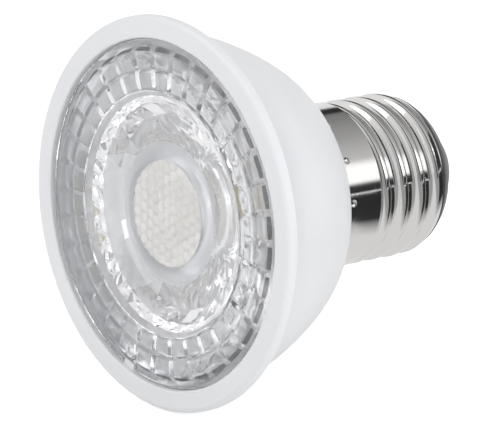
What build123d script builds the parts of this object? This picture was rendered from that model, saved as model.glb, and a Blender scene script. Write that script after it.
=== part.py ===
from build123d import *
import os
from math import asin, cos, hypot, pi, radians, sin, sqrt, tan

# LED spotlight bulb with an E27 screw cap. Millimetres.
# It is modelled standing on its centre contact, axis along Z, light going up, and is laid down at the end
# with the contact's face at the origin, the cap towards +Y and the lens towards -Y.

# Overall
lamp_length = 56.0
rim_radius = 31.5

# Housing: depths are measured back from the front plane of the rim
housing_wall = 1.6
bezel_width = 3.6
bezel_edge_round = 0.35
lip_height = 1.7
lip_round = 0.9
lip_step = 0.8
lip_root_depth = 2.5
waist_radius = 27.2
waist_depth = 10.0
belly_radius = 24.5
belly_depth = 16.0
heel_radius = 20.4
heel_depth = 22.0
shoulder_radius = 14.6
shoulder_depth = 25.6
shoulder_slope = 0.35
lip_lean = 0.7
neck_length = 8.1
neck_bore_radius = 10.9
lens_ledge_width = 1.4
lens_ledge_height = 1.2
key_angle = 251.0
key_width = 2.4
key_reach = 1.0

# Screw cap
thread_pitch = 3.629
crest_radius = 13.2
thread_round = 1.025
valley_half_width = 0.2
valley_rise = 0.03
shell_wall = 0.4
skirt_radius = 13.25
skirt_height = 8.8
skirt_taper = 0.8
taper_start_height = 12.2
shell_end_height = 5.4
shell_end_radius = 10.8
shell_end_lip = 0.8
shell_seat_rise = 2.8
crimp_count = 12
crimp_radius = 0.9
crimp_depth = 0.25
crimp_offset = 3.1

# Insulator and contact
insulator_tip_radius = 6.3
insulator_plug_height = 1.5
insulator_hole_radius = 1.7
contact_radius = 4.9
contact_thickness = 1.1
contact_edge_round = 0.45
stem_radius = 1.5
stem_height = 4.2

# Lens
lens_front_depth = 0.1
plate_thickness = 2.0
ring_drop = 0.8
cell_count = 34
cell_inner_radius = 19.5
flange_width = 1.4
cell_crown = 0.7
cell_valley = 0.05
dish_rim_cover = 0.15
dish_depth = 1.9
dish_sag = 0.2
dish_floor_radius = 11.4
window_radius = 8.5
window_rise = 0.3
collimator_start = 0.4
collimator_foot_radius = 8.0
collimator_curve = 1.5
facet_bands = 4
recess_radius = 5.4
recess_draft = 0.5
recess_height = 5.6
recess_crown = 0.6
crown_slope = 0.4

# Light source
cup_wall = 1.2
cup_floor = 2.0
cup_floor_depth = 16.5
pad_radius = 13.4
pad_thickness = 0.5
led_board_radius = 14.0
led_board_thickness = 1.0
cob_side = 12.0
cob_corner = 0.8
cob_thickness = 0.9
phosphor_radius = 4.6
phosphor_thickness = 0.35
screw_circle = 11.4
screw_radius = 1.25
screw_head_radius = 2.2
screw_head_height = 1.4
screw_length = 3.0
screw_slot = 0.5
lead_circle_y = 9.6

# Driver
driver_thickness = 1.2
driver_face = -2.0
driver_top_gap = 3.3
driver_wide_half = 11.2
driver_narrow_half = 9.2
driver_step_rise = 2.2
driver_end_gap = 2.8
part_gap = 0.3
bulk_radius = 4.0
bulk_length = 10.5
bulk_y = -4.2
bulk_overhang = 1.9
can_chamfer = 0.4
can_groove = 0.3
can_groove_width = 0.6
can_groove_place = 1.4
film_size = (3.5, 6.6, 8.0)
film_y = 5.3
film_rise = 2.9
output_radius = 2.5
output_length = 7.0
output_y = 6.4
coil_y = -2.0
coil_flange_radius = 4.2
coil_flange = 1.0
coil_core_radius = 2.2
coil_height = 7.4
winding_margin = 0.5
fuse_radius = 1.5
fuse_end_radius = 1.75
fuse_length = 8.4
fuse_cap = 1.6
fuse_y = 5.6
rectifier_size = (2.3, 3.9, 4.7)
rectifier_y = 4.0
rectifier_rise = 3.0
rectifier_leg_pitch = 2.5
controller_size = (1.5, 3.9, 4.9)
controller_y = -3.8
controller_drop = 8.7
controller_leg_pairs = 4
controller_leg_pitch = 1.27
diode_size = (2.1, 2.6, 4.3)
diode_y = 4.0
chip_size = (0.5, 1.25, 2.0)
chip_pitch = 2.6
chip_count = 5
chip_drop = 2.8
leg_reach = 0.9
leg_width = 0.5
leg_thickness = 0.25

# Wires
wire_radius = 0.5
wire_bend = 1.0
line_rise = 3.4
line_swing = 3.4
line_y = 0.9
line_overlap = 2.5
neutral_y = -3.2
neutral_rise = 0.9
neutral_overlap = 3.6
lead_overlap = 3.6
lead_tail = 2.2

# Clearances
fit_clearance = 0.1
lens_clearance = 0.2
groove_clearance = 0.1
lead_clearance = 0.4
lens_foot_clearance = 0.2


def height(depth):
    return lamp_length - depth


# Heights that several pieces share
skirt_top = height(shoulder_depth)
skirt_bottom = skirt_top - skirt_height
skirt_bore = skirt_radius - shell_wall
flank_angle = asin(thread_pitch / (4 * thread_round))
thread_depth = 2 * thread_round * (1 - cos(flank_angle))
root_radius = crest_radius - thread_depth + valley_rise
shell_bore = root_radius - shell_wall
shell_opening = shell_end_radius - shell_wall
neck_radius = skirt_bore - fit_clearance
neck_bottom = skirt_top - neck_length
bezel_bore = rim_radius - bezel_width
ledge_bore = bezel_bore - lens_ledge_width
ledge_height = height(lens_front_depth + plate_thickness)
ledge_under = ledge_height - lens_ledge_height
lip_root_radius = rim_radius - lip_step
neck_mouth = skirt_top + housing_wall

cup_floor_under = height(cup_floor_depth)
pad_under = cup_floor_under + cup_floor
led_board_under = pad_under + pad_thickness
cob_under = led_board_under + led_board_thickness
phosphor_under = cob_under + cob_thickness
lens_foot = phosphor_under + lens_foot_clearance

shell_seat = shell_end_height + shell_seat_rise
insulator_top = shell_seat + insulator_plug_height
driver_back = driver_face - driver_thickness
driver_top = cup_floor_under - driver_top_gap
driver_step_height = neck_bottom + driver_step_rise
driver_end_height = insulator_top + driver_end_gap
film_z = driver_end_height + film_rise
fuse_z = film_z + film_size[2] / 2 + fuse_end_radius + part_gap
coil_z = driver_top - coil_flange_radius - part_gap
controller_z = driver_top - controller_drop
lead_circle_x = driver_back - wire_radius - fit_clearance


def wall_radius(z):
    # Radius of the housing's inner wall, straight between the stations of the bowl
    stations = [
        (height(heel_depth), heel_radius - housing_wall),
        (height(belly_depth), belly_radius - housing_wall),
        (height(waist_depth), waist_radius - housing_wall),
        (ledge_under, ledge_bore),
    ]
    for (z0, r0), (z1, r1) in zip(stations, stations[1:]):
        if z <= z1:
            break
    return r0 + (r1 - r0) * (z - z0) / (z1 - z0)


# Housing: bowl, bezel and neck, with a groove for the driver board and a key for the lens
with BuildPart() as housing:
    with BuildSketch(Plane.XZ):
        with BuildLine():
            neck = Polyline(
                (neck_bore_radius, neck_bottom),
                (neck_radius, neck_bottom),
                (neck_radius, skirt_top),
                (shoulder_radius, skirt_top),
            )
            bowl = Spline(
                neck @ 1,
                (heel_radius, height(heel_depth)),
                (belly_radius, height(belly_depth)),
                (waist_radius, height(waist_depth)),
                (lip_root_radius, height(lip_root_depth)),
                tangents=[(1, shoulder_slope), (lip_lean, 1)],
            )
            lip = Polyline(
                bowl @ 1,
                (rim_radius, height(lip_height)),
                (rim_radius, height(lip_round)),
            )
            edge = RadiusArc(lip @ 1, (rim_radius - lip_round, lamp_length), -lip_round)
            Line(edge @ 1, (bezel_bore + bezel_edge_round, lamp_length))
            RadiusArc(
                (bezel_bore + bezel_edge_round, lamp_length),
                (bezel_bore, lamp_length - bezel_edge_round),
                -bezel_edge_round,
            )
            Polyline(
                (bezel_bore, lamp_length - bezel_edge_round),
                (bezel_bore, ledge_height),
                (ledge_bore, ledge_height),
                (ledge_bore, ledge_under),
                (waist_radius - housing_wall, height(waist_depth)),
                (belly_radius - housing_wall, height(belly_depth)),
                (heel_radius - housing_wall, height(heel_depth)),
                (neck_bore_radius, neck_mouth),
                (neck_bore_radius, neck_bottom),
            )
        make_face()
    revolve(axis=Axis.Z)
    with Locations((driver_face - driver_thickness / 2, 0, driver_step_height)):
        Box(
            driver_thickness + 2 * groove_clearance,
            2 * (driver_wide_half + groove_clearance),
            height(heel_depth) - driver_step_height,
            align=(Align.CENTER, Align.CENTER, Align.MIN),
            mode=Mode.SUBTRACT,
        )
    with BuildSketch(Plane.XY.offset(ledge_height)):
        with PolarLocations(bezel_bore + bezel_edge_round, 1, start_angle=key_angle):
            Rectangle(key_reach + bezel_edge_round, key_width, align=(Align.MAX, Align.CENTER))
    extrude(amount=lamp_length - lip_round - ledge_height)


def lead_and_screw_holes(top, thickness, screw_hole_radius):
    # The holes that the leads and the screws pass through, in the open part
    with Locations((lead_circle_x, lead_circle_y, top), (lead_circle_x, -lead_circle_y, top)):
        Hole(wire_radius + lead_clearance, depth=thickness)
    with PolarLocations(screw_circle, 2):
        with Locations((0, 0, top)):
            Hole(screw_hole_radius, depth=thickness)


# Heat sink cup: lines the bowl and carries the light source on its floor
with BuildPart() as heat_sink_cup:
    cup_top = ledge_under - fit_clearance
    cup_inside = cup_floor_under + cup_floor
    with BuildSketch(Plane.XZ):
        with BuildLine():
            Polyline(
                (0, cup_floor_under),
                (wall_radius(cup_floor_under) - fit_clearance, cup_floor_under),
                (belly_radius - housing_wall - fit_clearance, height(belly_depth)),
                (waist_radius - housing_wall - fit_clearance, height(waist_depth)),
                (wall_radius(cup_top) - fit_clearance, cup_top),
                (wall_radius(cup_top) - fit_clearance - cup_wall, cup_top),
                (waist_radius - housing_wall - fit_clearance - cup_wall, height(waist_depth)),
                (wall_radius(cup_inside) - fit_clearance - cup_wall, cup_inside),
                (0, cup_inside),
                close=True,
            )
        make_face()
    revolve(axis=Axis.Z)
    lead_and_screw_holes(cup_inside, cup_floor, screw_radius)

with BuildPart() as thermal_pad:
    with BuildSketch(Plane.XY.offset(pad_under)):
        Circle(pad_radius)
    extrude(amount=pad_thickness)
    lead_and_screw_holes(led_board_under, pad_thickness, screw_radius + fit_clearance)

with BuildPart() as led_board:
    with BuildSketch(Plane.XY.offset(led_board_under)):
        Circle(led_board_radius)
    extrude(amount=led_board_thickness)
    lead_and_screw_holes(cob_under, led_board_thickness, screw_radius + fit_clearance)

with BuildPart() as cob_substrate:
    with BuildSketch(Plane.XY.offset(cob_under)):
        RectangleRounded(cob_side, cob_side, cob_corner)
    extrude(amount=cob_thickness)

with BuildPart() as phosphor_disc:
    with BuildSketch(Plane.XY.offset(phosphor_under)):
        Circle(phosphor_radius)
    extrude(amount=phosphor_thickness)
    chamfer(phosphor_disc.faces().sort_by(Axis.Z)[-1].edges(), phosphor_thickness / 2)

with BuildPart() as board_screws:
    with BuildSketch(Plane.XY.offset(cob_under)):
        with PolarLocations(screw_circle, 2):
            Circle(screw_head_radius)
    extrude(amount=screw_head_height)
    chamfer(board_screws.faces().group_by(Axis.Z)[-1].edges(), screw_head_height / 3)
    with BuildSketch(Plane.XY.offset(cob_under)):
        with PolarLocations(screw_circle, 2):
            Circle(screw_radius - fit_clearance)
    extrude(amount=-screw_length)
    with BuildSketch(Plane.XY.offset(cob_under + screw_head_height)):
        with PolarLocations(screw_circle, 2):
            Rectangle(screw_slot, 3 * screw_head_radius)
            Rectangle(2 * screw_radius, screw_slot)
    extrude(amount=-screw_head_height / 2, mode=Mode.SUBTRACT)


# Lens: a clear optic with a flange, two rows of pillow cells, a dish with a raised window and a faceted
# collimator behind
def ring_point(radius, index, z):
    angle = 2 * pi * index / cell_count
    return Vector(radius * cos(angle), radius * sin(angle), z)


def collimator_solid():
    # A bowl of flat three-cornered facets: each ring of corners is turned by half a facet from the last,
    # and the wall grows flatter towards the foot
    step = (ledge_height - lens_foot) / facet_bands
    start = cell_inner_radius - collimator_start
    shares = [(ring / facet_bands) ** collimator_curve for ring in range(facet_bands + 1)]
    rings = [start - (start - collimator_foot_radius) * share for share in shares]

    def corner(ring, index):
        return ring_point(rings[ring], index + ring / 2, ledge_height - ring * step)

    outlines = [[corner(ring, i) for i in range(cell_count)] for ring in (0, facet_bands)]
    for ring in range(facet_bands):
        for i in range(cell_count):
            outlines.append([corner(ring, i), corner(ring, i + 1), corner(ring + 1, i)])
            outlines.append([corner(ring + 1, i), corner(ring + 1, i + 1), corner(ring, i + 1)])
    return Solid(Shell([Face(Wire.make_polygon(outline)) for outline in outlines]))


lens_front = height(lens_front_depth)
ring_floor = lens_front - ring_drop
dish_floor = lens_front - dish_depth
dish_rim_radius = cell_inner_radius + dish_rim_cover
lens_radius = bezel_bore - lens_clearance
cell_outer_radius = lens_radius - flange_width
cell_middle_radius = (cell_inner_radius + cell_outer_radius) / 2
half_cell = tan(pi / cell_count)
cells = []
for inner, outer in ((cell_inner_radius, cell_middle_radius), (cell_middle_radius, cell_outer_radius)):
    middle = (inner + outer) / 2
    corner_reach = hypot(outer - middle, outer * half_cell)
    sag = cell_crown - cell_valley
    cell_sphere = (corner_reach**2 + sag**2) / (2 * sag)
    with BuildPart() as cell:
        with BuildSketch(Plane.XY.offset(ledge_height)):
            with BuildLine():
                Polyline(
                    (inner, -inner * half_cell),
                    (outer, -outer * half_cell),
                    (outer, outer * half_cell),
                    (inner, inner * half_cell),
                    close=True,
                )
            make_face()
        extrude(amount=plate_thickness)
        with Locations((middle, 0, ring_floor + cell_crown - cell_sphere)):
            Sphere(cell_sphere, mode=Mode.INTERSECT)
    cells.append(cell.part)

with BuildPart() as lens:
    with BuildSketch(Plane.XZ):
        with BuildLine():
            Polyline(
                (0, lens_front),
                (dish_rim_radius, lens_front),
                (dish_rim_radius, ring_floor),
                (lens_radius, ring_floor),
                (lens_radius, ledge_height),
                (0, ledge_height),
                close=True,
            )
        make_face()
    revolve(axis=Axis.Z)
    add(collimator_solid())
    with PolarLocations(0, cell_count, start_angle=180 / cell_count):
        for shape in cells:
            add(shape)
    with BuildSketch(Plane.XZ):
        with BuildLine():
            floor_line = Polyline(
                (0, lens_front),
                (0, dish_floor + window_rise),
                (window_radius, dish_floor + window_rise),
                (window_radius, dish_floor),
                (dish_floor_radius, dish_floor),
            )
            ThreePointArc(
                floor_line @ 1,
                ((dish_floor_radius + cell_inner_radius) / 2, lens_front - dish_depth / 2 - dish_sag),
                (cell_inner_radius, lens_front),
            )
            Line((cell_inner_radius, lens_front), (0, lens_front))
        make_face()
    revolve(axis=Axis.Z, mode=Mode.SUBTRACT)
    with BuildSketch(Plane.XZ):
        with BuildLine():
            recess_wall = Polyline(
                (0, lens_foot),
                (recess_radius, lens_foot),
                (recess_radius - recess_draft, lens_foot + recess_height),
            )
            crown = Spline(
                recess_wall @ 1,
                (0, lens_foot + recess_height - recess_crown),
                tangents=[(-1, -crown_slope), (-1, 0)],
            )
            Line(crown @ 1, (0, lens_foot))
        make_face()
    revolve(axis=Axis.Z, mode=Mode.SUBTRACT)
    with BuildSketch(Plane.XY.offset(lens_front)):
        with PolarLocations(bezel_bore, 1, start_angle=key_angle):
            Rectangle(
                key_reach + lens_clearance,
                key_width + 2 * lens_clearance,
                align=(Align.MAX, Align.CENTER),
            )
    extrude(amount=-plate_thickness, mode=Mode.SUBTRACT)

# Screw shell: right-hand knuckle thread, tapered end, plain skirt with a ring of crimp dots. The thread's
# crests and valleys have one radius, and a narrow plain strip is left along the bottom of each valley.
skirt_step = skirt_bottom + shell_wall
ridge_height = crest_radius - root_radius
flank_height = ridge_height - thread_depth / 2
valley_place = thread_pitch / 2 - valley_half_width
valley_height = thread_round - sqrt(thread_round**2 - valley_half_width**2) - valley_rise
with BuildPart() as screw_shell:
    with BuildSketch():
        Circle(root_radius)
    extrude(amount=skirt_top)
    with BuildLine() as ridge_path:
        Helix(thread_pitch, skirt_bottom - shell_end_height, root_radius, center=(0, 0, shell_end_height))
    with BuildSketch(Plane(ridge_path.line @ 0, x_dir=(1, 0, 0), z_dir=ridge_path.line % 0)):
        with BuildLine():
            crest = ThreePointArc(
                (flank_height, -thread_pitch / 4),
                (ridge_height, 0),
                (flank_height, thread_pitch / 4),
            )
            upper = TangentArc(crest @ 1, (valley_height, valley_place), tangent=crest % 1)
            lower = TangentArc(crest @ 0, (valley_height, -valley_place), tangent=-(crest % 0))
            Polyline(
                upper @ 1,
                (-shell_wall / 2, valley_place),
                (-shell_wall / 2, -valley_place),
                lower @ 1,
            )
        make_face()
    sweep(path=ridge_path.line, is_frenet=True)
    with BuildSketch(Plane.XZ):
        with BuildLine():
            end_line = Polyline(
                (0, skirt_top),
                (0, shell_end_height),
                (shell_end_radius, shell_end_height),
            )
            taper = TangentArc(
                (crest_radius + shell_wall, taper_start_height),
                end_line @ 1,
                tangent=(0, -1),
            )
            Polyline(taper @ 0, (crest_radius + shell_wall, skirt_top), (0, skirt_top))
        make_face()
    revolve(axis=Axis.Z, mode=Mode.INTERSECT)
    with BuildSketch(Plane.XZ):
        with BuildLine():
            Polyline(
                (shell_bore, skirt_bottom - skirt_taper),
                (root_radius, skirt_bottom - skirt_taper),
                (skirt_radius, skirt_bottom),
                (skirt_radius, skirt_top),
                (shell_bore, skirt_top),
                close=True,
            )
        make_face()
    revolve(axis=Axis.Z)
    with BuildSketch(Plane.XZ):
        with BuildLine():
            Polyline(
                (0, shell_end_height),
                (shell_opening, shell_end_height),
                (shell_opening, shell_end_height + shell_end_lip),
                (shell_bore, shell_seat),
                (shell_bore, skirt_step),
                (skirt_bore, skirt_step),
                (skirt_bore, skirt_top),
                (0, skirt_top),
                close=True,
            )
        make_face()
    revolve(axis=Axis.Z, mode=Mode.SUBTRACT)
    with Locations((0, 0, skirt_top - crimp_offset)):
        with PolarLocations(skirt_radius + crimp_radius - crimp_depth, crimp_count):
            Sphere(crimp_radius, mode=Mode.SUBTRACT)

# Insulator: plugs the end of the shell and carries the contact
with BuildPart() as base_insulator:
    with BuildSketch(Plane.XZ):
        with BuildLine():
            Polyline(
                (insulator_hole_radius, contact_thickness),
                (insulator_tip_radius, contact_thickness),
                (shell_opening - fit_clearance, shell_end_height),
                (shell_opening - fit_clearance, shell_end_height + shell_end_lip),
                (shell_bore - fit_clearance, shell_seat),
                (shell_bore - fit_clearance, insulator_top),
                (insulator_hole_radius, insulator_top),
                close=True,
            )
        make_face()
    revolve(axis=Axis.Z)

with BuildPart() as centre_contact:
    with BuildSketch():
        Circle(contact_radius)
    extrude(amount=contact_thickness)
    fillet(centre_contact.faces().sort_by(Axis.Z)[0].edges(), contact_edge_round)
    with BuildSketch():
        Circle(stem_radius)
    extrude(amount=stem_height)

# Driver board: its wide part hangs in the neck's grooves, its narrow part reaches into the cap
with BuildPart() as driver_board:
    with BuildSketch(Plane.YZ.offset(driver_back)):
        with BuildLine():
            Polyline(
                (-driver_narrow_half, driver_end_height),
                (driver_narrow_half, driver_end_height),
                (driver_narrow_half, driver_step_height),
                (driver_wide_half, driver_step_height),
                (driver_wide_half, driver_top),
                (-driver_wide_half, driver_top),
                (-driver_wide_half, driver_step_height),
                (-driver_narrow_half, driver_step_height),
                close=True,
            )
        make_face()
    extrude(amount=driver_thickness)

# Parts on the front of the driver board
with BuildPart() as bulk_capacitor:
    bulk_axis = (driver_face + bulk_radius + fit_clearance, bulk_y)
    bulk_end_height = driver_end_height - bulk_overhang
    with BuildSketch(Plane.XY.offset(bulk_end_height)):
        with Locations(bulk_axis):
            Circle(bulk_radius)
    extrude(amount=bulk_length)
    chamfer(bulk_capacitor.edges().filter_by(GeomType.CIRCLE), can_chamfer)
    with BuildSketch(Plane.XY.offset(bulk_end_height + can_groove_place)):
        with Locations(bulk_axis):
            Circle(bulk_radius)
            Circle(bulk_radius - can_groove, mode=Mode.SUBTRACT)
    extrude(amount=can_groove_width, mode=Mode.SUBTRACT)

with BuildPart() as film_capacitor:
    with Locations((driver_face, film_y, film_z)):
        Box(*film_size, align=(Align.MIN, Align.CENTER, Align.CENTER))
    fillet(film_capacitor.faces().sort_by(Axis.X)[-1].edges(), can_chamfer)

with BuildPart() as output_capacitor:
    with BuildSketch(Plane.YZ.offset(driver_face)):
        with Locations((output_y, coil_z)):
            Circle(output_radius)
    extrude(amount=output_length)
    chamfer(output_capacitor.faces().sort_by(Axis.X)[-1].edges(), can_chamfer)

with BuildPart() as inductor_core:
    with BuildSketch(Plane.YZ.offset(driver_face)):
        with Locations((coil_y, coil_z)):
            Circle(coil_flange_radius)
    extrude(amount=coil_height)
    with BuildSketch(Plane.YZ.offset(driver_face + coil_flange)):
        with Locations((coil_y, coil_z)):
            Circle(coil_flange_radius)
            Circle(coil_core_radius, mode=Mode.SUBTRACT)
    extrude(amount=coil_height - 2 * coil_flange, mode=Mode.SUBTRACT)

with BuildPart() as inductor_winding:
    with BuildSketch(Plane.YZ.offset(driver_face + coil_flange)):
        with Locations((coil_y, coil_z)):
            Circle(coil_flange_radius - winding_margin)
            Circle(coil_core_radius, mode=Mode.SUBTRACT)
    extrude(amount=coil_height - 2 * coil_flange)

with BuildPart() as fusible_resistor:
    fuse_start = (driver_face + fuse_end_radius + fit_clearance, fuse_y - fuse_length / 2, fuse_z)
    fuse_plane = Plane(fuse_start, z_dir=(0, 1, 0))
    with BuildSketch(fuse_plane):
        Circle(fuse_radius)
    extrude(amount=fuse_length)
    with BuildSketch(fuse_plane, fuse_plane.offset(fuse_length - fuse_cap)):
        Circle(fuse_end_radius)
    extrude(amount=fuse_cap)
    chamfer(fusible_resistor.edges().group_by(Axis.Y)[0], fuse_end_radius / 3)
    chamfer(fusible_resistor.edges().group_by(Axis.Y)[-1], fuse_end_radius / 3)

# Parts on the back of the driver board, each body with flat legs that lie on the board
on_back = (Align.MAX, Align.CENTER, Align.CENTER)
with BuildPart() as bridge_rectifier:
    rectifier_z = driver_end_height + rectifier_rise
    with Locations((driver_back, rectifier_y, rectifier_z)):
        Box(*rectifier_size, align=on_back)
    for leg_z in (rectifier_z - rectifier_leg_pitch / 2, rectifier_z + rectifier_leg_pitch / 2):
        with Locations((driver_back, rectifier_y, leg_z)):
            Box(leg_thickness, rectifier_size[1] + 2 * leg_reach, leg_width, align=on_back)

with BuildPart() as controller_ic:
    with Locations((driver_back, controller_y, controller_z)):
        Box(*controller_size, align=on_back)
    for index in range(controller_leg_pairs):
        leg_z = controller_z + (index - (controller_leg_pairs - 1) / 2) * controller_leg_pitch
        with Locations((driver_back, controller_y, leg_z)):
            Box(leg_thickness, controller_size[1] + 2 * leg_reach, leg_width, align=on_back)

with BuildPart() as output_diode:
    with Locations((driver_back, diode_y, controller_z)):
        Box(*diode_size, align=on_back)
        Box(leg_thickness, diode_size[1] / 2, diode_size[2] + 2 * leg_reach, align=on_back)

with BuildPart() as chip_resistors:
    chip_z = driver_top - chip_drop
    for index in range(chip_count):
        with Locations((driver_back, (index - (chip_count - 1) / 2) * chip_pitch, chip_z)):
            Box(*chip_size, align=on_back)

# Wires: straight runs joined by arcs, lying just off the face that they are soldered to
front_lie = driver_face + wire_radius + fit_clearance
back_lie = driver_back - wire_radius - fit_clearance
board_lie = cob_under + wire_radius + fit_clearance
neutral_turn = driver_end_height + neutral_rise
routes = {
    "line_wire": [
        (0, 0, stem_height),
        (0, 0, stem_height + line_rise),
        (front_lie, line_y, stem_height + line_rise + line_swing),
        (front_lie, line_y, driver_end_height + line_overlap),
    ],
    "neutral_wire": [
        (back_lie, neutral_y, neutral_turn + neutral_overlap),
        (back_lie, neutral_y, neutral_turn),
        (wire_radius - sqrt(shell_bore**2 - neutral_y**2), neutral_y, neutral_turn),
    ],
    "led_lead_positive": [
        (lead_circle_x, lead_circle_y, driver_top - lead_overlap),
        (lead_circle_x, lead_circle_y, board_lie),
        (lead_circle_x, lead_circle_y - lead_tail, board_lie),
    ],
    "led_lead_negative": [
        (lead_circle_x, -lead_circle_y, driver_top - lead_overlap),
        (lead_circle_x, -lead_circle_y, board_lie),
        (lead_circle_x, lead_tail - lead_circle_y, board_lie),
    ],
}
wires = {}
for wire_name, points in routes.items():
    with BuildPart() as wire:
        with BuildLine() as route:
            FilletPolyline(*points, radius=wire_bend)
        with BuildSketch(Plane(route.line @ 0, z_dir=route.line % 0)):
            Circle(wire_radius)
        sweep(path=route.line)
    wires[wire_name] = wire

pieces = {
    "housing": housing,
    "heat_sink_cup": heat_sink_cup,
    "lens": lens,
    "thermal_pad": thermal_pad,
    "led_board": led_board,
    "cob_substrate": cob_substrate,
    "phosphor_disc": phosphor_disc,
    "board_screws": board_screws,
    "screw_shell": screw_shell,
    "base_insulator": base_insulator,
    "centre_contact": centre_contact,
    "driver_board": driver_board,
    "bulk_capacitor": bulk_capacitor,
    "film_capacitor": film_capacitor,
    "output_capacitor": output_capacitor,
    "inductor_core": inductor_core,
    "inductor_winding": inductor_winding,
    "fusible_resistor": fusible_resistor,
    "bridge_rectifier": bridge_rectifier,
    "controller_ic": controller_ic,
    "output_diode": output_diode,
    "chip_resistors": chip_resistors,
    **wires,
}

# The finished lamp is laid down: its axis turns from +Z to -Y
lay_down = Rotation(90, 0, 0)
os.makedirs("parts", exist_ok=True)
for name, piece in pieces.items():
    laid = piece.part.moved(lay_down)
    laid.label = name
    export_step(laid, f"parts/{name}.step")
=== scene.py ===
import bpy
import bmesh
from math import atan2, cos, hypot, pi, radians, sin, sqrt
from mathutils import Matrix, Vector


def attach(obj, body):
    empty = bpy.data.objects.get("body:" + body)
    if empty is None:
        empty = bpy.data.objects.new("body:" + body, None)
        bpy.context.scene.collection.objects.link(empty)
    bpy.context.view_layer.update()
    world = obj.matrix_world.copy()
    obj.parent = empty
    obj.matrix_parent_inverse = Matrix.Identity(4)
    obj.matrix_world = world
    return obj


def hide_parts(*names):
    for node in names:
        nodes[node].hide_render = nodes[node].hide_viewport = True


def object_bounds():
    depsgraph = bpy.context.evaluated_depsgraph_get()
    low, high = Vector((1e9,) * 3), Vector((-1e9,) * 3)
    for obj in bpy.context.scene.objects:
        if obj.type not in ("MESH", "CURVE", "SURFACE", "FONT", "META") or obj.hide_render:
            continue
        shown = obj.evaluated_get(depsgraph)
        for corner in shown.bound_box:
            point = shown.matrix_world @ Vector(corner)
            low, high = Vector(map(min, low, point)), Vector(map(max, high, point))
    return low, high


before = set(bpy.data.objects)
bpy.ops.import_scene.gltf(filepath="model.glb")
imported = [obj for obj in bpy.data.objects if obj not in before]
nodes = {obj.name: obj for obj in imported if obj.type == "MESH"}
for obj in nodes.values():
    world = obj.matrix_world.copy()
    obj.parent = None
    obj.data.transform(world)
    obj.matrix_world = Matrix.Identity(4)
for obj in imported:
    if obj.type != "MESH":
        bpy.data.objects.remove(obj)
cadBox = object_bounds()
mm = 0.001
hair = 0.02  # millimetres, for telling places apart
front = cadBox[0].y  # plane of the rim, the lens looks along -Y
print("frame loaded,", len(nodes), "nodes")


# small helpers

def deselectAll():
    if bpy.context.mode != "OBJECT":
        bpy.ops.object.mode_set(mode="OBJECT")
    bpy.ops.object.select_all(action="DESELECT")


def startEdit(obj):
    deselectAll()
    bpy.context.view_layer.objects.active = obj
    obj.select_set(True)
    bpy.ops.object.mode_set(mode="EDIT")
    bpy.ops.mesh.select_all(action="DESELECT")
    return bmesh.from_edit_mesh(obj.data)


def stopEdit(obj):
    bmesh.update_edit_mesh(obj.data)
    bpy.ops.object.mode_set(mode="OBJECT")


def placeAt(radius, angle, depth):
    # millimetres from the lamp's axis, angle from +X towards +Z, depth behind the rim's plane
    return Vector((radius * cos(angle) * mm, front + depth * mm, radius * sin(angle) * mm))


def joinInto(main, others):
    deselectAll()
    for other in others:
        other.select_set(True)
    main.select_set(True)
    bpy.context.view_layer.objects.active = main
    bpy.ops.object.join()


def wear(obj, material):
    obj.data.materials.clear()
    obj.data.materials.append(material)


# materials

def newMaterial(name, colour, roughness, metallic=0.0):
    material = bpy.data.materials.new(name)
    material.use_nodes = True
    shader = material.node_tree.nodes["Principled BSDF"]
    shader.inputs["Base Color"].default_value = (*colour, 1)
    shader.inputs["Roughness"].default_value = roughness
    shader.inputs["Metallic"].default_value = metallic
    return material, material.node_tree, shader


def addNoise(tree, scale, detail=4.0, stretch=(1, 1, 1)):
    coords = tree.nodes.new("ShaderNodeTexCoord")
    mapping = tree.nodes.new("ShaderNodeMapping")
    mapping.inputs["Scale"].default_value = stretch
    noise = tree.nodes.new("ShaderNodeTexNoise")
    noise.inputs["Scale"].default_value = scale
    noise.inputs["Detail"].default_value = detail
    tree.links.new(coords.outputs["Object"], mapping.inputs["Vector"])
    tree.links.new(mapping.outputs["Vector"], noise.inputs["Vector"])
    return noise


def spread(tree, source, low, high):
    # stretches a 0 to 1 pattern to the range a socket needs
    ranged = tree.nodes.new("ShaderNodeMapRange")
    ranged.inputs["To Min"].default_value = low
    ranged.inputs["To Max"].default_value = high
    tree.links.new(source, ranged.inputs["Value"])
    return ranged.outputs["Result"]


def tint(tree, shader, source, dark, light):
    # most of a noise lies in the middle, so the ramp is drawn in from both ends
    ramp = tree.nodes.new("ShaderNodeValToRGB")
    for stop, place, colour in zip(ramp.color_ramp.elements, (0.3, 0.7), (dark, light)):
        stop.position = place
        stop.color = (*colour, 1)
    tree.links.new(source, ramp.inputs["Fac"])
    tree.links.new(ramp.outputs["Color"], shader.inputs["Base Color"])


def bump(tree, shader, source, strength, distance):
    node = tree.nodes.new("ShaderNodeBump")
    node.inputs["Strength"].default_value = strength
    node.inputs["Distance"].default_value = distance
    tree.links.new(source, node.inputs["Height"])
    tree.links.new(node.outputs["Normal"], shader.inputs["Normal"])


def housingPlastic():
    material, tree, shader = newMaterial("housingPlastic", (0.82, 0.83, 0.85), roughness=0.4)
    cloud = addNoise(tree, scale=60)
    tint(tree, shader, cloud.outputs["Fac"], dark=(0.805, 0.815, 0.84), light=(0.835, 0.843, 0.86))
    grain = addNoise(tree, scale=2500, detail=2)
    bump(tree, shader, grain.outputs["Fac"], strength=0.08, distance=0.0002)
    satin = spread(tree, cloud.outputs["Fac"], low=0.34, high=0.48)
    tree.links.new(satin, shader.inputs["Roughness"])
    return material


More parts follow.
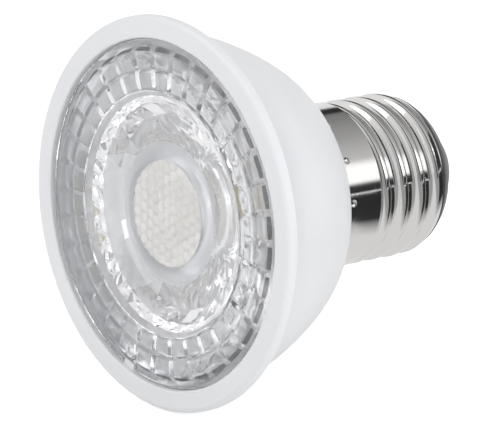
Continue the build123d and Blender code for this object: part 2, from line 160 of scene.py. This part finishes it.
def platedShell():
    material, tree, shader = newMaterial("platedShell", (0.78, 0.775, 0.77), roughness=0.1, metallic=1.0)
    streak = addNoise(tree, scale=300, detail=6, stretch=(1, 8, 1))
    polish = spread(tree, streak.outputs["Fac"], low=0.05, high=0.14)
    tree.links.new(polish, shader.inputs["Roughness"])
    bump(tree, shader, streak.outputs["Fac"], strength=0.03, distance=0.0001)
    return material


def lensFinish(name, colour, roughness, clearness, density):
    material, tree, shader = newMaterial(name, colour, roughness)
    shader.inputs["Transmission Weight"].default_value = clearness
    shader.inputs["IOR"].default_value = density
    ripple = addNoise(tree, scale=120, detail=2)
    bump(tree, shader, ripple.outputs["Fac"], strength=0.02, distance=0.0005)
    return material


def spunAluminium():
    material, tree, shader = newMaterial("spunAluminium", (0.96, 0.962, 0.966), roughness=0.25, metallic=0.85)
    turned = addNoise(tree, scale=400, stretch=(1, 12, 1))
    tint(tree, shader, turned.outputs["Fac"], dark=(0.95, 0.952, 0.957), light=(0.98, 0.98, 0.985))
    sheen = spread(tree, turned.outputs["Fac"], low=0.2, high=0.3)
    tree.links.new(sheen, shader.inputs["Roughness"])
    bump(tree, shader, turned.outputs["Fac"], strength=0.05, distance=0.0001)
    return material


def speckled(name, dark, light, scale, roughness, metallic=0.0):
    material, tree, shader = newMaterial(name, light, roughness, metallic)
    cloud = addNoise(tree, scale)
    tint(tree, shader, cloud.outputs["Fac"], dark, light)
    grain = addNoise(tree, scale=1500, detail=3)
    bump(tree, shader, grain.outputs["Fac"], strength=0.15, distance=0.0001)
    return material


# speckled takes a dark and a light colour, the speckle's scale, the roughness, and 1 where it is metal
finishes = {
    "housing": housingPlastic(),
    "heat_sink_cup": spunAluminium(),
    "thermal_pad": speckled("siliconePad", (0.5, 0.52, 0.54), (0.6, 0.62, 0.64), 300, 0.8),
    "led_board": speckled("whiteMask", (0.9, 0.89, 0.85), (0.94, 0.93, 0.89), 200, 0.35),
    "cob_substrate": speckled("whiteCeramic", (0.86, 0.85, 0.82), (0.9, 0.89, 0.86), 400, 0.5),
    "phosphor_disc": speckled("phosphor", (0.9, 0.8, 0.42), (0.95, 0.88, 0.58), 900, 0.6),
    "board_screws": speckled("zincScrew", (0.6, 0.6, 0.6), (0.72, 0.72, 0.7), 500, 0.35, 1.0),
    "screw_shell": platedShell(),
    "base_insulator": speckled("blackInsulator", (0.03, 0.03, 0.035), (0.05, 0.05, 0.055), 400, 0.3),
    "centre_contact": speckled("turnedBrass", (0.7, 0.58, 0.3), (0.82, 0.7, 0.42), 600, 0.3, 1.0),
    "driver_board": speckled("greenMask", (0.05, 0.2, 0.09), (0.08, 0.28, 0.13), 300, 0.4),
    "bulk_capacitor": speckled("darkSleeve", (0.03, 0.04, 0.08), (0.05, 0.06, 0.11), 200, 0.3),
    "output_capacitor": speckled("darkSleeveSmall", (0.03, 0.04, 0.08), (0.05, 0.06, 0.11), 200, 0.3),
    "film_capacitor": speckled("dippedCoat", (0.55, 0.24, 0.06), (0.68, 0.32, 0.1), 250, 0.3),
    "inductor_core": speckled("ferrite", (0.06, 0.06, 0.065), (0.1, 0.1, 0.105), 900, 0.6),
    "inductor_winding": speckled("copperTurns", (0.5, 0.24, 0.1), (0.7, 0.38, 0.18), 700, 0.35, 1.0),
    "fusible_resistor": speckled("resistorCoat", (0.36, 0.42, 0.34), (0.44, 0.5, 0.41), 500, 0.6),
    "bridge_rectifier": speckled("epoxyRectifier", (0.03, 0.03, 0.03), (0.05, 0.05, 0.05), 800, 0.5),
    "controller_ic": speckled("epoxyController", (0.03, 0.03, 0.03), (0.05, 0.05, 0.05), 800, 0.5),
    "output_diode": speckled("epoxyDiode", (0.03, 0.03, 0.03), (0.05, 0.05, 0.05), 800, 0.5),
    "chip_resistors": speckled("chipCoat", (0.04, 0.04, 0.045), (0.07, 0.07, 0.075), 1200, 0.45),
    "line_wire": speckled("redWire", (0.45, 0.03, 0.03), (0.55, 0.05, 0.04), 400, 0.4),
    "neutral_wire": speckled("blackWire", (0.03, 0.03, 0.03), (0.05, 0.05, 0.05), 400, 0.4),
    "led_lead_positive": speckled("paleRedLead", (0.62, 0.4, 0.37), (0.7, 0.47, 0.44), 400, 0.4),
    "led_lead_negative": speckled("blackLead", (0.03, 0.03, 0.03), (0.05, 0.05, 0.05), 400, 0.4),
}
for node, finish in finishes.items():
    wear(nodes[node], finish)
print("finishes on", len(finishes), "nodes")


# lens: all sizes in millimetres, depths behind the rim's plane

lens = {
    "cells": 34,
    "cellSteps": 8,
    "windowRadius": 8.5,
    "floorDepth": 2.0,
    "floorRadius": 11.4,
    "dishSteps": 10,
    "dishSag": 0.2,
    "rimRadius": 19.5,
    "rimDepth": 0.1,
    "rimCover": 0.15,  # bevel on the dish's rim
    "ringDepth": 0.9,
    "rowRadii": (19.65, 22.9, 26.3),
    "crown": 0.6,  # rise of a cell at its middle
    "valley": 0.05,  # and at its corners
    "dome": 0.1,  # share of a round top, the rest is a flat block
    "blockPower": 6,  # higher is squarer
    "scallop": 0.23,  # bow of a cell's outer end
    "endRadius": 25.9,  # faces further out and shallower than endDepth get a dark tint, painted shade
    "endDepth": 0.67,
    "cellGap": 0.002,  # closer corners are merged
    "cellCrease": radians(9),
    "keyAngle": radians(251),
    "keyHalf": radians(3.2),
    "keyRadius": 26.55,
    "edgeRadius": 27.7,
    "backDepth": 2.1,
    "collimatorRadius": 19.1,
    "bands": 4,
    "bowlCurve": 2.0,  # 1 is a cone, higher is fuller
    "footDepth": 11.9,
    "footRadius": 8.0,
    "recessRadius": 5.4,
    "recessTop": 4.9,
    "recessDepth": 6.3,
    "crownDepth": 6.9,
    "crownSteps": 6,
    "recessCrease": radians(35),
    "windowDepth": 1.7,
    "hexPitch": 1.75,
    "hexSag": 0.3,
    "hexCuts": 3,
    "hexGap": 0.01,
    "hexCrease": radians(20),
    # colour, roughness, clearness and density
    "finishes": {
        "clearLens": ((0.975, 0.985, 1.0), 0.0, 1.0, 1.49),
        "frostedWindow": ((0.93, 0.915, 0.89), 0.3, 0.4, 1.49),
        "hazyFloor": ((0.93, 0.95, 1.0), 0.4, 0.74, 1.49),
        "softWall": ((0.99, 0.995, 1.0), 0.03, 1.0, 2.4),  # dense, so the collimator throws light back
        "frostedBack": ((0.97, 0.98, 1.0), 0.08, 0.95, 1.49),
        # a dark tint on the cells' outer ends stands in for the shade there: painted shade
        "paintedShadeEnd": ((0.16, 0.165, 0.175), 0.1, 1.0, 1.49),
        "hazyDish": ((0.96, 0.965, 0.98), 0.0, 0.84, 1.49),
    },
}


def frontRows():
    # (radius, depth, position across a cell or None) from the window out and round to the back
    rows = [(lens["windowRadius"], lens["floorDepth"], None)]
    rows.append((lens["floorRadius"], lens["floorDepth"], None))
    for i in range(1, lens["dishSteps"] + 1):
        t = i / lens["dishSteps"]
        radius = lens["floorRadius"] + (lens["rimRadius"] - lens["floorRadius"]) * t
        depth = lens["floorDepth"] + (lens["rimDepth"] - lens["floorDepth"]) * t
        rows.append((radius, depth + 4 * lens["dishSag"] * t * (1 - t), None))
    inner, middle, outer = lens["rowRadii"]
    rows.append((inner, lens["rimDepth"] + lens["rimCover"], None))
    for low, high in ((inner, middle), (middle, outer)):
        first = 0 if low == inner else 1  # the two rows of cells share a line of corners
        for i in range(first, lens["cellSteps"] + 1):
            v = 2 * i / lens["cellSteps"] - 1
            rows.append((low + (high - low) * (v + 1) / 2, lens["ringDepth"], v))
    rows.append((lens["edgeRadius"], lens["ringDepth"], None))
    rows.append((lens["edgeRadius"], lens["backDepth"], None))
    return rows


def cellRise(u, v):
    # a pillow over the cell, u and v from -1 to 1 across it: some dome, the rest flat with steep sides
    dome = 1 - (u * u + v * v) / 2
    block = (1 - u ** lens["blockPower"]) * (1 - v ** lens["blockPower"])
    share = lens["dome"] * dome + (1 - lens["dome"]) * block
    return lens["valley"] + (lens["crown"] - lens["valley"]) * share


def makeLensFront():
    rows = frontRows()
    outer = lens["rowRadii"][2]
    pitch = 2 * pi / lens["cells"]
    deselectAll()
    bpy.ops.mesh.primitive_grid_add(x_subdivisions=lens["cellSteps"], y_subdivisions=len(rows) - 1, size=2)
    obj = bpy.context.object
    obj.name = "lens_optic"
    mesh = startEdit(obj)
    for vert in mesh.verts:
        u = vert.co.x
        radius, depth, v = rows[round((vert.co.y + 1) / 2 * (len(rows) - 1))]
        if v is not None:
            depth -= cellRise(u, v)
        if v == 1 and radius > outer - hair:
            radius += lens["scallop"] * (1 - u * u)
        vert.co = placeAt(radius, (u + 1) / 2 * pitch, depth)
    bpy.ops.mesh.select_all(action="SELECT")
    copies = lens["cells"] - 1
    bpy.ops.mesh.spin(steps=copies, dupli=True, angle=pitch * copies, center=(0, 0, 0), axis=(0, 1, 0))
    bpy.ops.mesh.select_all(action="SELECT")
    bpy.ops.mesh.remove_doubles(threshold=lens["cellGap"] * mm)
    mesh = bmesh.from_edit_mesh(obj.data)
    for vert in mesh.verts:
        away = abs((atan2(vert.co.z, vert.co.x) - lens["keyAngle"] + pi) % (2 * pi) - pi)
        radius = hypot(vert.co.x, vert.co.z) / mm
        if away < lens["keyHalf"] and radius > lens["keyRadius"]:  # notch for the housing's tab
            vert.co.x *= lens["keyRadius"] / radius
            vert.co.z *= lens["keyRadius"] / radius
    stopEdit(obj)
    bpy.ops.object.shade_smooth_by_angle(angle=lens["cellCrease"])
    return obj


def ringLoop(name, count, radius, depth):
    # leaves the loop selected in edit mode, ready to grow
    deselectAll()
    bpy.ops.mesh.primitive_circle_add(vertices=count, radius=1)
    obj = bpy.context.object
    obj.name = name
    mesh = startEdit(obj)
    for vert in mesh.verts:
        vert.co = placeAt(radius, atan2(vert.co.y, vert.co.x), depth)
    bmesh.update_edit_mesh(obj.data)
    bpy.ops.mesh.select_all(action="SELECT")
    return obj


def growLoop(radiusFrom, radiusTo, depthStep, turn=0.0):
    # extrudes the selected loop along the axis, then scales and turns it
    bpy.ops.mesh.extrude_edges_move(TRANSFORM_OT_translate={"value": (0, depthStep * mm, 0)})
    share = radiusTo / radiusFrom
    bpy.ops.transform.resize(value=(share, 1, share), center_override=(0, 0, 0))
    if turn:
        bpy.ops.transform.rotate(value=turn, orient_axis="Y", center_override=(0, 0, 0))


def makeCollimator():
    # rings of corners, each turned by half a facet, give flat diamonds
    count = lens["cells"]
    spare = lens["collimatorRadius"] - lens["footRadius"]
    shares = [(i / lens["bands"]) ** lens["bowlCurve"] for i in range(lens["bands"] + 1)]
    radii = [lens["collimatorRadius"] - spare * share for share in shares]
    step = (lens["footDepth"] - lens["backDepth"]) / lens["bands"]
    obj = ringLoop("collimator", count, radii[0], lens["backDepth"])
    for before, after in zip(radii, radii[1:]):
        growLoop(before, after, step, pi / count)
    bpy.ops.mesh.select_all(action="SELECT")
    bpy.ops.mesh.quads_convert_to_tris(quad_method="SHORTEST_DIAGONAL")
    bpy.ops.object.mode_set(mode="OBJECT")
    bpy.ops.object.shade_flat()
    return obj, radii[-1]


def makeRecess():
    count = 4 * lens["cells"]  # rounder than the collimator
    obj = ringLoop("recess", count, lens["recessRadius"], lens["footDepth"])
    growLoop(lens["recessRadius"], lens["recessTop"], lens["recessDepth"] - lens["footDepth"])
    radius, depth = lens["recessTop"], lens["recessDepth"]
    rise = lens["crownDepth"] - lens["recessDepth"]
    for i in range(1, lens["crownSteps"]):
        t = i / lens["crownSteps"]
        nextRadius = lens["recessTop"] * (1 - t)
        nextDepth = lens["recessDepth"] + rise * (1 - (1 - t) ** 2)
        growLoop(radius, nextRadius, nextDepth - depth)
        radius, depth = nextRadius, nextDepth
    bpy.ops.mesh.fill_holes(sides=0)
    bpy.ops.object.mode_set(mode="OBJECT")
    bpy.ops.object.shade_smooth_by_angle(angle=lens["recessCrease"])
    return obj


def makeWindow():
    # honeycomb of small domes, drawn in to the window's circle
    pitch = lens["hexPitch"]
    columnStep = pitch * sqrt(3) / 2
    corner = pitch / sqrt(3)
    reach = lens["windowRadius"]
    deselectAll()
    bpy.ops.mesh.primitive_circle_add(vertices=6, radius=corner, fill_type="TRIFAN")
    obj = bpy.context.object
    obj.name = "window"
    startEdit(obj)
    bpy.ops.mesh.select_all(action="SELECT")
    bpy.ops.mesh.subdivide(number_cuts=lens["hexCuts"])
    bpy.ops.mesh.quads_convert_to_tris()
    stopEdit(obj)
    turned = [Vector((v.co.y, v.co.x)) for v in obj.data.vertices]
    columns = int(reach / columnStep) + 1
    rowsUp = int(reach / pitch) + 1
    centres = []
    for column in range(-columns, columns + 1):
        for row in range(-rowsUp, rowsUp + 1):
            centre = Vector((column * columnStep, (row + 0.5 * (column % 2)) * pitch))
            if centre.length < reach + corner:
                centres.append(centre)
    copies = []
    for centre in centres:
        copy = obj.copy()
        copy.data = obj.data.copy()
        bpy.context.scene.collection.objects.link(copy)
        for vert, spot in zip(copy.data.vertices, turned):
            place = centre + spot
            rise = lens["hexSag"] * (1 - (spot.length / corner) ** 2)
            if place.length > reach:
                rise *= reach / place.length
                place *= reach / place.length
            vert.co = Vector((place.x * mm, front + (lens["windowDepth"] - rise) * mm, place.y * mm))
        copies.append(copy)
    bpy.data.objects.remove(obj)
    joinInto(copies[0], copies[1:])
    obj = copies[0]
    startEdit(obj)
    bpy.ops.mesh.select_all(action="SELECT")
    bpy.ops.mesh.remove_doubles(threshold=lens["hexGap"] * mm)
    bpy.ops.mesh.select_all(action="SELECT")
    bpy.ops.mesh.dissolve_degenerate(threshold=lens["hexGap"] * mm)
    stopEdit(obj)
    bpy.ops.object.shade_smooth_by_angle(angle=lens["hexCrease"])
    return obj


def selectLoop(mesh, low, high, depth):
    # open edges between two radii, at one depth or at any
    slack = 0.05  # millimetres
    for edge in mesh.edges:
        if not edge.is_boundary:
            continue
        radii = [hypot(v.co.x, v.co.z) / mm for v in edge.verts]
        depths = [(v.co.y - front) / mm for v in edge.verts]
        inside = low - slack < min(radii) and max(radii) < high + slack
        if inside and (depth is None or all(abs(d - depth) < slack for d in depths)):
            edge.select_set(True)


def lensZone(radius, depth):
    if depth > lens["backDepth"] + hair:
        return "softWall"
    if radius < lens["windowRadius"] - hair:
        return "frostedWindow"
    if radius < lens["floorRadius"]:
        return "hazyFloor"
    if depth > lens["backDepth"] - hair:
        return "frostedBack"
    # the cells' outer ends take the dark tint, painted shade
    if radius > lens["endRadius"] and depth < lens["endDepth"]:
        return "paintedShadeEnd"
    if radius < lens["rimRadius"] and depth < lens["backDepth"]:
        return "hazyDish"
    return "clearLens"


def makeLens():
    optic = makeLensFront()
    collimator, footRadius = makeCollimator()
    recess = makeRecess()
    window = makeWindow()
    joinInto(optic, [collimator, recess, window])
    startEdit(optic)
    # the flange's back, the foot and the window's edge are bridged between two open loops each
    for loops in (
        ((lens["keyRadius"], lens["edgeRadius"], lens["backDepth"]),
         (lens["collimatorRadius"], lens["collimatorRadius"], lens["backDepth"])),
        ((footRadius, footRadius, lens["footDepth"]),
         (lens["recessRadius"], lens["recessRadius"], lens["footDepth"])),
        ((lens["windowRadius"], lens["windowRadius"], lens["floorDepth"]),
         (lens["windowRadius"], lens["windowRadius"], None)),
    ):
        bpy.ops.mesh.select_all(action="DESELECT")
        mesh = bmesh.from_edit_mesh(optic.data)
        for loop in loops:
            selectLoop(mesh, *loop)
        bmesh.update_edit_mesh(optic.data)
        bpy.ops.mesh.bridge_edge_loops()
    bpy.ops.mesh.select_all(action="SELECT")
    bpy.ops.mesh.normals_make_consistent(inside=False)
    stopEdit(optic)
    mesh = bmesh.new()
    mesh.from_mesh(optic.data)
    print("lens open edges", sum(e.is_boundary for e in mesh.edges), "faces", len(mesh.faces))
    mesh.free()
    optic.data.materials.clear()
    for name, finish in lens["finishes"].items():
        optic.data.materials.append(lensFinish(name, *finish))
    zones = list(lens["finishes"])
    for face in optic.data.polygons:
        radius = hypot(face.center.x, face.center.z) / mm
        depth = (face.center.y - front) / mm
        face.material_index = zones.index(lensZone(radius, depth))
    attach(optic, "root")
    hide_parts("lens")


makeLens()
print("lens made")


# collar of the insulator, over the tapered end of the cap

collar = {
    # radius and height over the contact's end, in millimetres
    "profile": ((12.1, 7.5), (12.4, 7.35), (12.18, 7.0), (11.47, 6.0), (10.92, 5.4), (10.6, 5.1), (9.9, 5.1)),
    "corners": 96,
    "crease": radians(30),
}


def makeCollar():
    length = -front / mm
    radius, height = collar["profile"][0]
    obj = ringLoop("insulator_collar", collar["corners"], radius, length - height)
    for (radius, height), (nextRadius, nextHeight) in zip(collar["profile"], collar["profile"][1:]):
        growLoop(radius, nextRadius, height - nextHeight)
    bpy.ops.mesh.select_all(action="SELECT")
    bpy.ops.mesh.normals_make_consistent(inside=False)
    bpy.ops.object.mode_set(mode="OBJECT")
    bpy.ops.object.shade_smooth_by_angle(angle=collar["crease"])
    wear(obj, speckled("greyCollar", (0.07, 0.07, 0.075), (0.1, 0.1, 0.105), 300, 0.35))
    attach(obj, "root")


makeCollar()
print("collar made")


# studio: floor, light and camera

studio = {
    "floorSize": 6.0,
    "floorGap": 0.0002,
    "floorGlow": 0.5,
    "worldLevel": 0.7,
    "lampAim": (0, -0.03, 0),
    "cardTint": (1, 0.995, 0.99),
    "tentCorners": 96,
}
softboxes = {
    "keySoftbox": {"place": (0.55, 0.05, 0.25), "size": 0.4, "power": 1.0},
    "fillSoftbox": {"place": (-0.3, -0.4, 0.5), "size": 0.4, "power": 0.8},
    "frontSoftbox": {"place": (0.75, -0.65, 0.3), "size": 0.25, "power": 0.8},
}
# cards that only mirrors or the lens see, with greys along the first side: turn is in degrees on the floor,
# or None where the card stands up and faces the lamp
cards = {
    "frontCard": {
        "place": (0.05, -0.26),
        "size": (0.4, 0.4),
        "turn": 90,
        "greys": ((0.01, 0.8), (0.72, 0.8), (0.8, 0.95), (0.99, 0.95)),
        "seenBy": "lens",
    },
    "skyCard": {
        "place": (-0.42, -0.65, 0.4),
        "size": (0.9, 0.7),
        "turn": None,
        "greys": ((0.01, 0.3), (0.99, 0.3)),
        "seenBy": "lens",
    },
    "capCard": {
        "place": (0.060, 0.445),
        "size": (0.6, 0.8),
        "turn": 22,
        "greys": ((0.16, 0.8), (0.2, 0.03)),
        "seenBy": "mirror",
    },
    "flankCard": {
        "place": (0.360, -0.296),
        "size": (0.6, 0.8),
        "turn": 22,
        "greys": ((0.16, 0.8), (0.2, 0.38)),
        "seenBy": "mirror",
    },
}
# tents that only mirrors see: reach along Y, and greys by turns of a full circle from +X towards +Z
tents = {
    "sideTent": {
        "radius": 0.6,
        "reach": (0.1, 1.6),
        "greys": (
            (0.0, 0.02), (0.02, 0.05), (0.035, 1.3), (0.09, 1.3), (0.12, 0.62), (0.22, 0.4), (0.345, 0.22),
            (0.36, 0.03), (0.39, 0.03), (0.41, 0.9), (0.85, 0.9), (0.86, 0.03), (0.995, 0.02),
        ),
    },
    "flankTent": {
        "radius": 0.6,
        "reach": (-1.0, 0.1),
        "greys": ((0.01, 0.35), (0.1, 0.5), (0.2, 0.7), (0.3, 0.9), (0.7, 0.9), (0.8, 0.6), (0.99, 0.35)),
    },
    "gapTent": {
        "radius": 0.58,
        "reach": (-0.17, -0.03),
        "greys": ((0.01, 0.03), (0.3, 0.03), (0.34, 0.9), (0.9, 0.9), (0.92, 0.03), (0.99, 0.03)),
    },
    "endTent": {
        "radius": 0.62,
        "reach": (1.6, 1.6),
        "greys": ((0.01, 0.04), (0.99, 0.04)),
    },
}


def seenDirectly(tree):
    # 1 for camera, mirror and lens rays, so they meet plain white
    path = tree.nodes.new("ShaderNodeLightPath")
    total = path.outputs["Is Camera Ray"]
    for name in ("Is Glossy Ray", "Is Transmission Ray"):
        larger = tree.nodes.new("ShaderNodeMath")
        larger.operation = "MAXIMUM"
        tree.links.new(total, larger.inputs[0])
        tree.links.new(path.outputs[name], larger.inputs[1])
        total = larger.outputs["Value"]
    return total


def makeWorld():
    world = bpy.data.worlds.new("studio")
    bpy.context.scene.world = world
    world.use_nodes = True
    tree = world.node_tree
    background = tree.nodes["Background"]
    background.inputs["Color"].default_value = (1, 1, 1, 1)
    level = spread(tree, seenDirectly(tree), low=studio["worldLevel"], high=1.0)
    tree.links.new(level, background.inputs["Strength"])


def makeFloor():
    deselectAll()
    height = cadBox[0].z - studio["floorGap"]
    bpy.ops.mesh.primitive_plane_add(size=studio["floorSize"], location=(0, 0, height))
    floor = bpy.context.object
    floor.name = "floor"
    material, tree, shader = newMaterial("paleFloor", (0.9, 0.9, 0.9), roughness=0.9)
    shader.inputs["Emission Color"].default_value = (1, 1, 1, 1)
    level = spread(tree, seenDirectly(tree), low=0.0, high=studio["floorGlow"])
    tree.links.new(level, shader.inputs["Emission Strength"])
    wear(floor, material)


def showOnlyTo(obj, seenBy):
    obj.visible_camera = False
    obj.visible_diffuse = False
    obj.visible_shadow = False
    obj.visible_glossy = seenBy == "mirror"
    obj.visible_transmission = seenBy == "lens"


def glowing(name, greys, turning=False):
    # gives off its own greys only: along the first side of a card, or by the turn round the lamp's axis
    material, tree, shader = newMaterial(name, (0, 0, 0), roughness=1.0)
    shader.inputs["Specular IOR Level"].default_value = 0
    shader.inputs["Emission Strength"].default_value = 1
    coords = tree.nodes.new("ShaderNodeTexCoord")
    gradient = tree.nodes.new("ShaderNodeTexGradient")
    ramp = tree.nodes.new("ShaderNodeValToRGB")
    if turning:
        gradient.gradient_type = "RADIAL"
        mapping = tree.nodes.new("ShaderNodeMapping")
        mapping.inputs["Rotation"].default_value = (radians(-90), 0, 0)
        tree.links.new(coords.outputs["Object"], mapping.inputs["Vector"])
        tree.links.new(mapping.outputs["Vector"], gradient.inputs["Vector"])
    else:
        tree.links.new(coords.outputs["UV"], gradient.inputs["Vector"])
    tree.links.new(gradient.outputs["Fac"], ramp.inputs["Fac"])
    tree.links.new(ramp.outputs["Color"], shader.inputs["Emission Color"])
    stops = ramp.color_ramp.elements
    for place, level in greys:
        # a radial gradient starts half a turn round
        stop = stops.new((place + 0.5) % 1 if turning else place)
        stop.color = (*(level * part for part in studio["cardTint"]), 1)
    stops.remove(stops[0])  # the ramp's own black and white
    stops.remove(stops[len(stops) - 1])
    return material


def addCard(name, card):
    deselectAll()
    bpy.ops.mesh.primitive_plane_add(size=1)
    obj = bpy.context.object
    obj.name = name
    obj.scale = (*card["size"], 1)
    if card["turn"] is None:
        obj.location = card["place"]
        obj.rotation_euler = obj.location.to_track_quat("Z", "Y").to_euler()
    else:
        obj.location = (*card["place"], cadBox[0].z)
        obj.rotation_euler = (0, 0, radians(card["turn"]))
    bpy.ops.object.transform_apply(location=True, rotation=True, scale=True)
    wear(obj, glowing(name, card["greys"]))
    showOnlyTo(obj, card["seenBy"])


def addTent(name, tent):
    # a tube around the lamp's axis, or a disc across it where it has no length
    deselectAll()
    near, far = tent["reach"]
    if far > near:
        bpy.ops.mesh.primitive_cylinder_add(
            vertices=studio["tentCorners"], radius=tent["radius"], depth=far - near, end_fill_type="NOTHING"
        )
    else:
        bpy.ops.mesh.primitive_circle_add(
            vertices=studio["tentCorners"], radius=tent["radius"], fill_type="NGON"
        )
    obj = bpy.context.object
    obj.name = name
    obj.rotation_euler = (radians(90), 0, 0)
    obj.location = (0, (far + near) / 2, 0)
    bpy.ops.object.transform_apply(location=True, rotation=True, scale=True)
    wear(obj, glowing(name, tent["greys"], turning=True))
    showOnlyTo(obj, "mirror")


def addSoftbox(name, softbox):
    light = bpy.data.lights.new(name, "AREA")
    light.shape = "SQUARE"
    light.size = softbox["size"]
    light.energy = softbox["power"]
    lamp = bpy.data.objects.new(name, light)
    bpy.context.scene.collection.objects.link(lamp)
    lamp.location = softbox["place"]
    aim = Vector(studio["lampAim"]) - Vector(softbox["place"])
    lamp.rotation_euler = aim.to_track_quat("-Z", "Y").to_euler()


view = {
    "azimuth": radians(50.4),
    "elevation": radians(12.9),
    "distance": 1.0,
    "imageWidth": 480,
    "focalPixels": 6390,
    "sensorWidth": 36,
    "clipStart": 0.01,
    "rimOffset": (-12.571, -0.06),  # millimetres right of and below the picture's middle
}


def makeCamera():
    data = bpy.data.cameras.new("photoCamera")
    data.sensor_width = view["sensorWidth"]
    data.lens = view["sensorWidth"] * view["focalPixels"] / view["imageWidth"]
    data.clip_start = view["clipStart"]
    camera = bpy.data.objects.new("photoCamera", data)
    bpy.context.scene.collection.objects.link(camera)
    azimuth, elevation = view["azimuth"], view["elevation"]
    back = Vector((sin(azimuth) * cos(elevation), -cos(azimuth) * cos(elevation), sin(elevation)))
    right = Vector((cos(azimuth), sin(azimuth), 0))
    up = back.cross(right)
    across, down = view["rimOffset"]
    rim = Vector((0, front, 0))
    camera.location = rim + back * view["distance"] - right * across * mm + up * down * mm
    camera.rotation_euler = (-back).to_track_quat("-Z", "Y").to_euler()
    bpy.context.scene.camera = camera


makeWorld()
makeFloor()
for name, softbox in softboxes.items():
    addSoftbox(name, softbox)
for name, card in cards.items():
    addCard(name, card)
for name, tent in tents.items():
    addTent(name, tent)
makeCamera()
bpy.context.scene.view_settings.view_transform = "Standard"
cycles = bpy.context.scene.cycles  # light goes round inside the lens many times
cycles.max_bounces = 32
cycles.glossy_bounces = 24
cycles.transmission_bounces = 32
print("studio ready")
